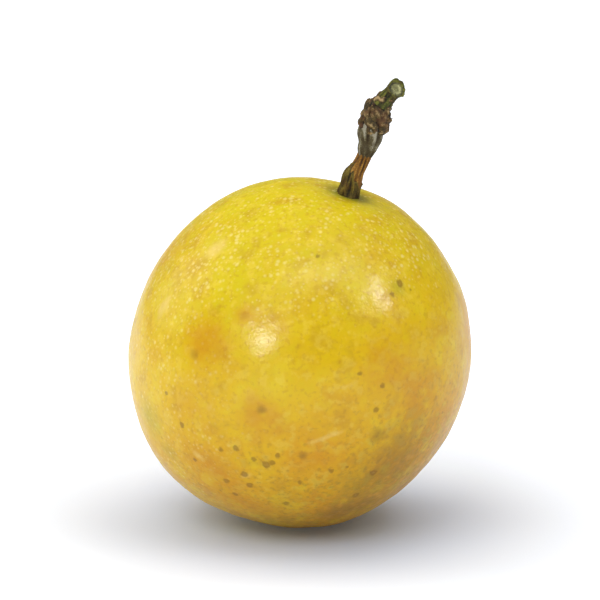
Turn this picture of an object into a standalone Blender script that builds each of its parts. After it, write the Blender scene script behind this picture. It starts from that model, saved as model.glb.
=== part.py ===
"""A whole yellow passion fruit, as picked, with the dry stalk that it hung from.

Run with: blender --background --python part.py

Units are metres and +Z is up. The fruit rests on a small flat spot of its underside, and the
origin is on the resting surface, under the middle of the fruit. The fruit's own axis runs from
the blossom end to the stalk, leans over to +X and nods a little towards -Y.

Two pieces: "fruit" is the body, grown as one piece, and "stalk" is the woody stalk with the
withered flower cup round its middle. The stalk's root stands in a plain hole of the fruit.
"""

import math

import bmesh
import bpy
import numpy as np
from mathutils import Matrix, Vector

MM = 0.001

# ---------------------------------------------------------------- driving dimensions
BALL_RADIUS = 32.8 * MM  # middle of the fruit to its side, at the narrowest
LONG_AXIS_EXTRA = 1.4 * MM  # how much further it reaches along its long axis
LONG_AXIS_TILT = math.radians(7.0)  # of that axis from the stalk's, towards +X
AXIS_LEAN = math.radians(16.5)  # of the stalk's axis, towards +X
AXIS_NOD = math.radians(4.0)  # of the stalk's axis, towards -Y
FLAT_SPOT_DEPTH = 0.45 * MM  # how much of the round underside the flat spot takes off

DIMPLE_DEPTH = 1.0 * MM  # hollow that the stalk stands in
DIMPLE_WIDTH = math.radians(7.0)
SHOULDER_HEIGHT = 0.30 * MM  # faint swelling round that hollow
SHOULDER_ANGLE = math.radians(21.0)
SHOULDER_WIDTH = math.radians(8.0)
BLOSSOM_HOLLOW_DEPTH = 0.55 * MM  # at the far end, where the flower's style sat
BLOSSOM_HOLLOW_WIDTH = math.radians(7.5)
BLOSSOM_NUB_HEIGHT = 0.75 * MM
BLOSSOM_NUB_WIDTH = math.radians(2.6)

ROOT_RADIUS = 1.35 * MM  # of the stalk, inside the fruit
ROOT_DEPTH = 2.7 * MM
GAP = 0.3 * MM  # kept between the two pieces
COLLAR_LIFT = 0.5 * MM  # underside of the stalk's collar above the dimple's middle

# Soft swells of the skin: the wave's direction and turns (x, y, z), its phase and its height.
SWELLS = (
    (-1.2, 2.3, 0.9, 2.1, 0.16 * MM),
    (2.6, -2.2, 2.4, 4.0, 0.14 * MM),
    (-3.4, 1.6, 3.1, 1.2, 0.11 * MM),
    (4.4, 3.9, -2.7, 5.1, 0.07 * MM),
)

# Bumps and, with a minus, dents of the skin: degrees from the stalk, degrees round the axis
# from +X, half width in degrees, and height. The side at -90 degrees is the front.
BUMPS = (
    (38, 19, 13, -0.45 * MM),
    (39, 153, 13, 0.50 * MM),
    (145, -157, 14, 0.50 * MM),
    (163, -90, 9, -0.30 * MM),
    (145, -31, 9, 0.32 * MM),
    (78, -118, 11, -0.32 * MM),
    (66, -84, 7, -0.16 * MM),
    (98, -76, 9, -0.20 * MM),
    (104, -22, 10, -0.36 * MM),
    (62, -12, 8, -0.26 * MM),
    (74, 38, 12, -0.42 * MM),
    (116, 70, 13, -0.38 * MM),
    (58, 104, 10, -0.34 * MM),
    (92, 142, 11, -0.46 * MM),
    (128, 166, 9, -0.30 * MM),
    (70, 186, 8, -0.24 * MM),
)

# The stalk's stations above its collar's underside, in millimetres: distance along the fruit's
# axis, sideways offset towards +X, sideways offset towards +Y, and radius.
STALK_STATIONS = (
    (0.0, -0.25, 0.00, 2.02),
    (0.9, -0.22, 0.00, 1.98),
    (2.2, -0.35, 0.05, 2.00),
    (3.8, -0.25, 0.12, 1.84),
    (5.4, 0.12, 0.20, 1.48),
    (7.4, 0.55, 0.26, 1.34),
    (9.2, 0.60, 0.30, 1.78),
    (11.4, 0.56, 0.30, 2.30),
    (13.6, 0.40, 0.22, 2.56),
    (15.8, 0.36, 0.10, 2.48),
    (17.8, 0.48, 0.00, 2.10),
    (19.4, 1.00, -0.08, 1.74),
    (20.9, 1.72, -0.14, 1.62),
    (22.4, 2.62, -0.16, 1.76),
    (23.8, 3.50, -0.14, 1.90),
    (25.6, 4.50, -0.08, 1.90),
)
STATIONS_PER_SPAN = 3
STALK_SIDES_LEVEL = 4  # bevel resolution, 12 sides
CUT_ALONG = 22.2 * MM  # middle of the slanting cut that ends the stalk
CUT_FACING = Vector((0.42, -0.60, 0.95))  # outwards from the cut, in the fruit's axis frame
LIP_TOWARDS = math.radians(115)  # side of the torn bark left standing behind the cut
LIP_HEIGHT = 0.6 * MM  # above the cut
LIP_SETBACK = 0.9 * MM  # of its inner face from the stalk's middle line

# Knobs of the withered flower cup, set round the stalk by the golden angle.
KNOB_COUNT = 20
KNOB_SPAN = (14.0 * MM, 17.6 * MM)  # first and last knob, along the stalk
KNOB_RADIUS = (0.85 * MM, 1.25 * MM)
KNOB_LENGTH = 1.45  # a knob's length along the stalk, over its width
KNOB_SINK = 0.42 * MM  # how far a knob's middle lies under the cup's surface
GOLDEN_ANGLE = math.radians(137.5)

# Dry tatters of the sepals, which stand up and out from the cup.
TATTERS = (  # along the stalk, degrees round it, length, tilt outwards in degrees
    (15.2 * MM, -24, 2.8 * MM, 30),
    (17.2 * MM, 6, 2.2 * MM, 24),
    (13.4 * MM, 70, 2.6 * MM, 30),
    (17.0 * MM, 132, 2.4 * MM, 22),
    (14.6 * MM, 186, 2.8 * MM, 32),
    (16.8 * MM, 244, 2.2 * MM, 20),
)
TATTER_WIDTH = 1.5 * MM
TATTER_THICKNESS = 0.8 * MM

RANDOM_SEED = 7
SKIN_MERIDIANS = 72
SKIN_PARALLELS = 44


# ---------------------------------------------------------------- scene helpers
def clear_scene():
    """Remove whatever objects the file opened with."""
    for obj in list(bpy.data.objects):
        bpy.data.objects.remove(obj, do_unlink=True)


def new_collection(name):
    """A collection linked to the scene."""
    collection = bpy.data.collections.new(name)
    bpy.context.scene.collection.children.link(collection)
    return collection


def material(name, colour, roughness):
    """A Principled material; colour is linear RGB."""
    made = bpy.data.materials.new(name)
    made.use_nodes = True
    shader = made.node_tree.nodes["Principled BSDF"]
    shader.inputs["Base Color"].default_value = (*colour, 1.0)
    shader.inputs["Roughness"].default_value = roughness
    shader.inputs["Metallic"].default_value = 0.0
    made.diffuse_color = (*colour, 1.0)
    return made


def object_from_bmesh(name, mesh_in_progress, collection, parent=None):
    """Finish a bmesh as an object in a collection."""
    data = bpy.data.meshes.new(name)
    mesh_in_progress.to_mesh(data)
    mesh_in_progress.free()
    obj = bpy.data.objects.new(name, data)
    collection.objects.link(obj)
    obj.parent = parent
    return obj


def hide_as_cutter(obj):
    """Keep a cutter out of the model and drawn as wire."""
    obj.hide_render = True
    obj.display_type = "WIRE"


# ---------------------------------------------------------------- the fruit's form
def angle_to(directions, polar, azimuth):
    """Angles between unit vectors and the direction at a polar angle and an azimuth."""
    towards = np.array(
        (
            math.sin(polar) * math.cos(azimuth),
            math.sin(polar) * math.sin(azimuth),
            math.cos(polar),
        )
    )
    return np.arccos(np.clip(directions @ towards, -1.0, 1.0))


def bell(angle, width):
    """A smooth bump of height 1, in angles."""
    return np.exp(-0.5 * (angle / width) ** 2)


def skin_points(directions):
    """Points of the skin for unit vectors in the fruit's frame, where +Z is the stalk's end.

    The form is a ball drawn out along its long axis, by the square of the cosine from that
    axis. Soft waves, a few bumps and dents, the dimple at the stalk and the scar at the
    blossom end then push it in or out along each direction.
    """
    long_axis = angle_to(directions, LONG_AXIS_TILT, 0.0)
    height = LONG_AXIS_EXTRA * np.cos(long_axis) ** 2
    for *wave, phase, amount in SWELLS:
        height += amount * np.sin(directions @ np.array(wave) + phase)
    for polar, azimuth, width, rise in BUMPS:
        away = angle_to(directions, math.radians(polar), math.radians(azimuth))
        height += rise * bell(away, math.radians(width))
    from_stalk = angle_to(directions, 0.0, 0.0)
    height -= DIMPLE_DEPTH * bell(from_stalk, DIMPLE_WIDTH)
    height += SHOULDER_HEIGHT * bell(from_stalk - SHOULDER_ANGLE, SHOULDER_WIDTH)
    from_blossom = math.pi - from_stalk
    height -= BLOSSOM_HOLLOW_DEPTH * bell(from_blossom, BLOSSOM_HOLLOW_WIDTH)
    height += BLOSSOM_NUB_HEIGHT * bell(from_blossom, BLOSSOM_NUB_WIDTH)
    return directions * (BALL_RADIUS + height)[:, None]


def axis_rotation():
    """Turns the fruit's frame into the world: a nod towards -Y, then a lean towards +X."""
    return Matrix.Rotation(AXIS_LEAN, 4, "Y") @ Matrix.Rotation(AXIS_NOD, 4, "X")


def axis_place(points):
    """The fruit's axis frame in the world.

    Its height leaves the flat spot's depth below the ground, and the middle of its box is
    over the origin.
    """
    turned = points @ np.array(axis_rotation().to_3x3()).T
    low, high = turned.min(axis=0), turned.max(axis=0)
    place = Vector((*(-(low + high)[:2] / 2), -low[2] - FLAT_SPOT_DEPTH))
    return Matrix.Translation(place) @ axis_rotation()


def build_fruit(collection, cutters):
    """The body: a sphere given the skin's form, cut by the ground and by the stalk's hole.

    Returns the fruit, the empty on its axis and the height of the dimple's middle there.
    """
    body = bmesh.new()
    bmesh.ops.create_uvsphere(
        body, u_segments=SKIN_MERIDIANS, v_segments=SKIN_PARALLELS, radius=1.0
    )
    directions = np.array([vert.co.normalized() for vert in body.verts])
    points = skin_points(directions)
    for vert, point in zip(body.verts, points):
        vert.co = point

    axis = bpy.data.objects.new("fruit_axis", None)
    collection.objects.link(axis)
    axis.matrix_world = axis_place(points)

    fruit = object_from_bmesh("fruit", body, collection, axis)
    fruit.data.shade_smooth()
    fruit.data.materials.append(material("ripe_rind", (0.72, 0.50, 0.045), 0.45))

    ground = bmesh.new()
    bmesh.ops.create_cube(ground, size=1.0)
    slab = 4 * BALL_RADIUS
    bmesh.ops.transform(
        ground,
        matrix=Matrix.Translation((0, 0, -slab / 2)) @ Matrix.Scale(slab, 4),
        verts=ground.verts,
    )
    ground_cutter = object_from_bmesh("ground_cutter", ground, cutters)

    dimple_height = float(skin_points(np.array([(0.0, 0.0, 1.0)]))[0, 2])
    hole = bmesh.new()
    hole_depth = ROOT_DEPTH + GAP
    hole_height = hole_depth + 3 * DIMPLE_DEPTH
    bmesh.ops.create_cone(
        hole,
        cap_ends=True,
        segments=24,
        radius1=ROOT_RADIUS + GAP,
        radius2=ROOT_RADIUS + GAP,
        depth=hole_height,
        matrix=Matrix.Translation((0, 0, dimple_height - hole_depth + hole_height / 2)),
    )
    hole_cutter = object_from_bmesh("stalk_hole_cutter", hole, cutters, axis)

    for cutter in (ground_cutter, hole_cutter):
        hide_as_cutter(cutter)
        cut = fruit.modifiers.new(cutter.name, "BOOLEAN")
        cut.operation = "DIFFERENCE"
        cut.object = cutter
    return fruit, axis, dimple_height


# ---------------------------------------------------------------- the stalk's form
def smooth_rows(rows, per_span):
    """Rows of a Catmull-Rom curve through the given rows, per_span to each stretch."""
    rows = np.asarray(rows, float)
    padded = np.vstack((2 * rows[0] - rows[1], rows, 2 * rows[-1] - rows[-2]))
    steps = np.linspace(0.0, 1.0, per_span, endpoint=False)[:, None]
    found = []
    for before, start, end, after in zip(padded, padded[1:], padded[2:], padded[3:]):
        found.append(
            0.5
            * (
                2 * start
                + (end - before) * steps
                + (2 * before - 5 * start + 4 * end - after) * steps**2
                + (3 * start - before - 3 * end + after) * steps**3
            )
        )
    return np.vstack((*found, rows[-1:]))


def stalk_rows():
    """The stalk above its collar's underside: along, sideways, sideways and radius."""
    return smooth_rows(np.array(STALK_STATIONS) * MM, STATIONS_PER_SPAN)


def stalk_at(along):
    """Centre and radius of the stalk at a distance above the collar's underside."""
    rows = stalk_rows()
    x, y, radius = (np.interp(along, rows[:, 0], rows[:, k]) for k in (1, 2, 3))
    return Vector((x, y, along)), float(radius)


def mesh_from_curve(curve_object, collection):
    """The curve's evaluated shape as a closed mesh object; the curve is removed."""
    bpy.context.view_layer.update()
    evaluated = curve_object.evaluated_get(bpy.context.evaluated_depsgraph_get())
    data = bpy.data.meshes.new_from_object(evaluated)
    welded = bmesh.new()
    welded.from_mesh(data)
    bmesh.ops.remove_doubles(welded, verts=welded.verts, dist=0.002 * MM)
    bmesh.ops.recalc_face_normals(welded, faces=welded.faces)
    welded.to_mesh(data)
    welded.free()
    made = bpy.data.objects.new(curve_object.name + "_mesh", data)
    collection.objects.link(made)
    made.matrix_world = curve_object.matrix_world
    bpy.data.objects.remove(curve_object, do_unlink=True)
    return made


def stalk_core(collection):
    """The stalk's tapering rod: collar, neck, cup and pedicel, as one tube."""
    rows = stalk_rows()
    curve = bpy.data.curves.new("stalk_core", "CURVE")
    curve.dimensions = "3D"
    curve.bevel_depth = 1.0
    curve.bevel_resolution = STALK_SIDES_LEVEL
    curve.use_fill_caps = True
    spline = curve.splines.new("POLY")
    spline.points.add(len(rows) - 1)
    for point, (along, x, y, radius) in zip(spline.points, rows):
        point.co = (x, y, along, 1.0)
        point.radius = radius
    core = bpy.data.objects.new("stalk_core", curve)
    collection.objects.link(core)
    return mesh_from_curve(core, collection)


def add_root(collection):
    """The plain peg that stands in the fruit's hole, with its top sunk in the collar."""
    bottom, top = -COLLAR_LIFT - ROOT_DEPTH, 1.4 * MM
    peg = bmesh.new()
    bmesh.ops.create_cone(
        peg,
        cap_ends=True,
        segments=20,
        radius1=ROOT_RADIUS,
        radius2=ROOT_RADIUS,
        depth=top - bottom,
        matrix=Matrix.Translation((0, 0, (top + bottom) / 2)),
    )
    object_from_bmesh("root", peg, collection)


def outward(angle):
    """The level unit vector at an angle round the stalk."""
    return Vector((math.cos(angle), math.sin(angle), 0.0))


def add_knobs(collection):
    """Lumps of the withered cup: long beads sunk in its surface."""
    draw = np.random.default_rng(RANDOM_SEED)
    for index in range(KNOB_COUNT):
        share = (index + draw.uniform(-0.3, 0.3)) / (KNOB_COUNT - 1)
        along = KNOB_SPAN[0] + share * (KNOB_SPAN[1] - KNOB_SPAN[0])
        angle = index * GOLDEN_ANGLE + draw.uniform(-0.25, 0.25)
        width = draw.uniform(*KNOB_RADIUS)
        centre, radius = stalk_at(along)
        place = Matrix.Translation(centre + outward(angle) * (radius - KNOB_SINK))
        tilt = Matrix.Rotation(draw.uniform(-0.5, 0.5), 4, outward(angle))
        long_bead = Matrix.Diagonal((width, width, width * KNOB_LENGTH, 1.0))
        knob = bmesh.new()
        bmesh.ops.create_icosphere(
            knob, subdivisions=2, radius=1.0, matrix=place @ tilt @ long_bead
        )
        object_from_bmesh(f"knob_{index}", knob, collection)


def add_tatters(collection):
    """Tapering dry flaps, flat across the stalk, with their roots sunk in the cup."""
    for index, (along, degrees, length, tilt) in enumerate(TATTERS):
        angle = math.radians(degrees)
        centre, radius = stalk_at(along)
        root = centre + outward(angle) * (radius - 0.2 * MM)
        turned = (
            Matrix.Translation(root)
            @ Matrix.Rotation(angle, 4, "Z")
            @ Matrix.Rotation(math.radians(tilt), 4, "Y")
        )
        flat = Matrix.Diagonal((TATTER_THICKNESS, TATTER_WIDTH, 1.0, 1.0))
        flap = bmesh.new()
        bmesh.ops.create_cone(
            flap,
            cap_ends=True,
            segments=8,
            radius1=0.5,
            radius2=0.22,
            depth=length,
            matrix=turned @ Matrix.Translation((0, 0, length * 0.38)) @ flat,
        )
        object_from_bmesh(f"tatter_{index}", flap, collection)


def join_all(target, collection):
    """One Boolean union of a collection into the target, applied; the pieces are removed."""
    union = target.modifiers.new("join", "BOOLEAN")
    union.operation = "UNION"
    union.operand_type = "COLLECTION"
    union.collection = collection
    union.solver = "EXACT"
    bpy.context.view_layer.update()
    evaluated = target.evaluated_get(bpy.context.evaluated_depsgraph_get())
    joined = bpy.data.meshes.new_from_object(evaluated)
    target.modifiers.remove(union)
    target.data = joined
    for obj in list(collection.objects):
        bpy.data.objects.remove(obj, do_unlink=True)


def add_end_cut(stalk, cutters):
    """The slanting cut at the stalk's end, with a lip of torn bark left standing behind it.

    One block takes off what lies past the cut in front of the lip, and another what lies
    above the lip.
    """
    middle, _ = stalk_at(CUT_ALONG)
    side = 12 * MM
    facing = CUT_FACING.normalized()
    towards = Vector((math.cos(LIP_TOWARDS), math.sin(LIP_TOWARDS), 0.0))
    towards = (towards - facing * towards.dot(facing)).normalized()
    turn = Matrix((towards, facing.cross(towards), facing)).transposed().to_4x4()
    for name, along_lip, above in (
        ("end_cutter", LIP_SETBACK - side / 2, side / 2),
        ("lip_cutter", 0.0, LIP_HEIGHT + side / 2),
    ):
        block = bmesh.new()
        bmesh.ops.create_cube(
            block,
            size=side,
            matrix=Matrix.Translation(middle)
            @ turn
            @ Matrix.Translation((along_lip, 0, above)),
        )
        cutter = object_from_bmesh(name, block, cutters, stalk)
        hide_as_cutter(cutter)
        cut = stalk.modifiers.new(cutter.name, "BOOLEAN")
        cut.operation = "DIFFERENCE"
        cut.object = cutter


def build_stalk(collection, cutters, axis, dimple_height):
    """The woody stalk, standing in the fruit's hole with its collar over the dimple."""
    stalk = stalk_core(collection)
    repeats = new_collection("cup_repeats")
    add_root(repeats)
    add_knobs(repeats)
    add_tatters(repeats)
    join_all(stalk, repeats)
    bpy.data.collections.remove(repeats)
    stalk.name = "stalk"
    stalk.data.name = "stalk"
    stalk.parent = axis
    stalk.location = (0.0, 0.0, dimple_height + COLLAR_LIFT)
    stalk.data.shade_smooth()
    stalk.data.set_sharp_from_angle(angle=math.radians(50))
    stalk.data.materials.clear()
    stalk.data.materials.append(material("dry_stalk", (0.10, 0.065, 0.025), 0.8))
    add_end_cut(stalk, cutters)
    return stalk


def main():
    """Build the fruit and its stalk."""
    clear_scene()
    model = new_collection("passion_fruit")
    cutters = new_collection("cutters")
    _, axis, dimple_height = build_fruit(model, cutters)
    build_stalk(model, cutters, axis, dimple_height)


main()
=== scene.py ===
"""Looks of a whole yellow passion fruit with its dry stalk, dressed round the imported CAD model.

Everything is in metres in the model's own frame: +Z is up, the fruit rests on Z = 0, and its
front faces -Y. The rind and every part of the stalk are surfaces worked out with numpy.
"""

import logging
import math
from dataclasses import dataclass
from enum import Enum, IntEnum

import bpy
import numpy as np
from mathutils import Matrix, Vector


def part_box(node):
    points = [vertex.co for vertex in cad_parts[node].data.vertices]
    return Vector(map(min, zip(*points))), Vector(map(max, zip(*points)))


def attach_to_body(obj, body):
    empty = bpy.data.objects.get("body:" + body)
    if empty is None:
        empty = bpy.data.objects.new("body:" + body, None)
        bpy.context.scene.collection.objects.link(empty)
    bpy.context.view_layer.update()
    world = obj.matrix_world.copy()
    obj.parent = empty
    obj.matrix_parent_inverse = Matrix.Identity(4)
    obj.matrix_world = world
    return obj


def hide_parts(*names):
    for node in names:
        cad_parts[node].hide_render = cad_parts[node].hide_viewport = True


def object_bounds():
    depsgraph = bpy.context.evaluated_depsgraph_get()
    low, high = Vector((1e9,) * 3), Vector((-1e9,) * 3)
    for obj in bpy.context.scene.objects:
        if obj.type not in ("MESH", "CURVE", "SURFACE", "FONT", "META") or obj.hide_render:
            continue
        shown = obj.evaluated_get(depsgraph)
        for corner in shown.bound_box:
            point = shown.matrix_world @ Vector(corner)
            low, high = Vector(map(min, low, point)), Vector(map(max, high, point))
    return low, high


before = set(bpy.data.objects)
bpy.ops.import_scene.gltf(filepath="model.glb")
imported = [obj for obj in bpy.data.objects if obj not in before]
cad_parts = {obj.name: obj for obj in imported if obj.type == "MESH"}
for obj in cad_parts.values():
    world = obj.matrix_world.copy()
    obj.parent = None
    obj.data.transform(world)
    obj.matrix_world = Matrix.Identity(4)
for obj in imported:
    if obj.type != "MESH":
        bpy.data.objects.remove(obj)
CAD_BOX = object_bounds()

MM = 0.001
UP = np.array((0.0, 0.0, 1.0))  # also the fruit's own axis, towards its stalk
GOLDEN_DEGREES = 137.5  # the turn from one scale of a growing plant to the next
LOG = logging.getLogger("passion_fruit")


class Seed(IntEnum):
    """Everything that is drawn at random, each with the seed that fixes its draw."""

    KNOBS = 7
    UNDULATION = 11
    ORANGE_PEEL = 12
    HIDDEN_MARKS = 19
    COLLAR_RIDGES = 21
    NECK_FIBRES = 22
    NECK_KNOTS = 23
    CUP_FIBRES = 24
    CUP_LUMPS = 25
    REMAINS_LUMPS = 26
    REMAINS_CRUMBS = 27
    PEDICEL_FIBRES = 28
    PEDICEL_KNOTS = 29
    KNOB_SKIN = 31
    COLLAR_EDGE = 33
    COLLAR_CRACKS = 35
    TATTERS = 41
    THREADS = 52


# ---------------------------------------------------------------- shared helpers
def linear(hex_colour: str) -> tuple[float, float, float, float]:
    """Turns an sRGB hex colour into linear RGBA.

    Args:
        hex_colour: Six hex digits after a hash, such as "#E6CB2A".

    Returns:
        Linear red, green and blue, and an alpha of 1.
    """
    parts = np.array([int(hex_colour[i : i + 2], 16) for i in (1, 3, 5)]) / 255.0
    low, high = parts / 12.92, ((parts + 0.055) / 1.055) ** 2.4
    red, green, blue = np.where(parts <= 0.04045, low, high)
    return float(red), float(green), float(blue), 1.0


def add_node(
    tree: bpy.types.NodeTree,
    kind: str,
    inputs: dict | None = None,
    stops: tuple = (),
    **settings: object,
) -> bpy.types.Node:
    """Adds a node with its settings, its values and its links.

    Args:
        tree: The node tree that gets it.
        kind: The node's type, such as "ShaderNodeMath".
        inputs: Socket name or number to a value, or to the output socket linked to it.
        stops: Positions and colours of a colour ramp, in order.
        settings: The node's own properties.

    Returns:
        The new node.
    """
    node = tree.nodes.new(kind)
    for name, value in settings.items():
        setattr(node, name, value)
    for key, value in (inputs or {}).items():
        if isinstance(value, bpy.types.NodeSocket):
            tree.links.new(value, node.inputs[key])
        else:
            node.inputs[key].default_value = value
    for index, (position, colour) in enumerate(stops):
        elements = node.color_ramp.elements
        element = elements[index] if index < 2 else elements.new(position)
        element.position, element.color = position, colour
    return node


def waves(
    points: np.ndarray, seed: int, count: int, shortest: float, longest: float
) -> np.ndarray:
    """Smooth seeded noise: the sum of level waves in random directions, about 1 in height.

    Each wave is the sine of the point times a random direction times 2 pi over a wavelength
    between the shortest and the longest, plus a random phase.

    Args:
        points: Places, with x, y and z last.
        seed: Fixes the random draw.
        count: How many waves are summed.
        shortest: Shortest wavelength, in the points' unit.
        longest: Longest wavelength, in the points' unit.

    Returns:
        The noise at each place.
    """
    draw = np.random.default_rng(seed)
    ways = draw.normal(size=(count, 3))
    ways /= np.linalg.norm(ways, axis=1, keepdims=True)
    ways *= (2 * np.pi / draw.uniform(shortest, longest, count))[:, None]
    phases = draw.uniform(0, 2 * np.pi, count)
    return np.sin(points @ ways.T + phases).sum(axis=-1) * math.sqrt(2 / count)


def bell(distance: np.ndarray, width: float) -> np.ndarray:
    """A smooth bump of height 1: e to the power of minus half the squared distance in widths."""
    return np.exp(-0.5 * (distance / width) ** 2)


def smooth_step(value: np.ndarray, start: float, end: float) -> np.ndarray:
    """Rises from 0 at start to 1 at end along 3t^2 - 2t^3."""
    share = np.clip((value - start) / (end - start), 0.0, 1.0)
    return share * share * (3 - 2 * share)


def seen_from_front(yaw: float, pitch: float) -> np.ndarray:
    """The unit vector towards a place given as seen from the front.

    Args:
        yaw: Degrees from the front (-Y) towards +X.
        pitch: Degrees above the level.

    Returns:
        The direction in the world.
    """
    side, rise = math.radians(yaw), math.radians(pitch)
    level = math.cos(rise)
    return np.array((level * math.sin(side), -level * math.cos(side), math.sin(rise)))


def round_axis(angle: float) -> tuple[np.ndarray, np.ndarray]:
    """Unit vectors away from the fruit's axis and onwards round it, at an angle from +X."""
    cosine, sine = math.cos(angle), math.sin(angle)
    return np.array((cosine, sine, 0.0)), np.array((-sine, cosine, 0.0))


class Draft:
    """Gathers closed skins worked out as grids, and makes one mesh of them."""

    def __init__(self) -> None:
        """Starts with no skin."""
        self.points: list[np.ndarray] = []
        self.faces: list[np.ndarray] = []
        self.values: dict[str, list[np.ndarray]] = {}
        self.count = 0

    def add(self, grid: np.ndarray, **values: np.ndarray) -> None:
        """Adds one closed skin.

        Its rows run from one end to the other and its columns go round. The first and the
        last row each shrink to one point, their middle, which closes the ends.

        Args:
            grid: Points, as rows by columns by 3.
            values: Numbers to store at the points, each as rows by columns.
        """
        rows, columns = grid.shape[0] - 2, grid.shape[1]
        ends = grid[[0, -1]].mean(axis=1)
        points = np.vstack((grid[1:-1].reshape(-1, 3), ends))
        place = np.arange(rows * columns).reshape(rows, columns)
        after = np.roll(place, -1, axis=1)
        quads = np.stack((place[:-1], after[:-1], after[1:], place[1:]), axis=-1)
        first = np.full(columns, rows * columns)
        caps = np.vstack(
            (
                np.stack((first, after[0], place[0], place[0]), axis=-1),
                np.stack((first + 1, place[-1], after[-1], after[-1]), axis=-1),
            )
        )
        faces = np.vstack((quads.reshape(-1, 4), caps))
        a, b, c = (points[faces[:, k]] for k in (0, 1, 2))
        if np.einsum("ij,ij->", a - points.mean(axis=0), np.cross(b - a, c - a)) < 0:
            faces = faces[:, ::-1]
        self.points.append(points)
        self.faces.append(faces + self.count)
        for name, grid_values in values.items():
            closing = grid_values[[0, -1]].mean(axis=1)
            column = np.concatenate((grid_values[1:-1].ravel(), closing))
            self.values.setdefault(name, []).append(column)
        self.count += len(points)

    def build(self, name: str, material: bpy.types.Material) -> bpy.types.Object:
        """Makes the mesh object, smooth shaded, with its stored numbers as attributes.

        Args:
            name: The piece's name.
            material: Its finish.

        Returns:
            The object, at the origin and linked to the scene.
        """
        faces = np.vstack(self.faces)
        flat = faces.ravel()
        repeated = np.zeros(faces.shape, bool)
        repeated[:, 1:] = faces[:, 1:] == faces[:, :-1]
        kept = ~repeated.ravel()
        sizes = 4 - repeated.sum(axis=1)
        mesh = bpy.data.meshes.new(name)
        mesh.vertices.add(self.count)
        mesh.vertices.foreach_set("co", np.vstack(self.points).astype(np.float32).ravel())
        mesh.loops.add(int(sizes.sum()))
        mesh.loops.foreach_set("vertex_index", flat[kept].astype(np.int32))
        mesh.polygons.add(len(faces))
        starts = np.concatenate(([0], np.cumsum(sizes)[:-1]))
        mesh.polygons.foreach_set("loop_start", starts.astype(np.int32))
        mesh.update(calc_edges=True)
        mesh.validate()
        mesh.shade_smooth()
        for label, columns in self.values.items():
            stored = mesh.attributes.new(label, "FLOAT", "POINT")
            stored.data.foreach_set("value", np.concatenate(columns).astype(np.float32))
        mesh.materials.append(material)
        piece = bpy.data.objects.new(name, mesh)
        bpy.context.scene.collection.objects.link(piece)
        return piece


def attach(piece: bpy.types.Object, node: str) -> None:
    """Rides a finished piece on the one body, in place of a CAD node.

    Args:
        piece: The finished piece.
        node: The CAD node that it stands for.
    """
    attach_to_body(piece, "root")
    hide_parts(node)
    LOG.info("%s: %d faces", piece.name, len(piece.data.polygons))


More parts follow.
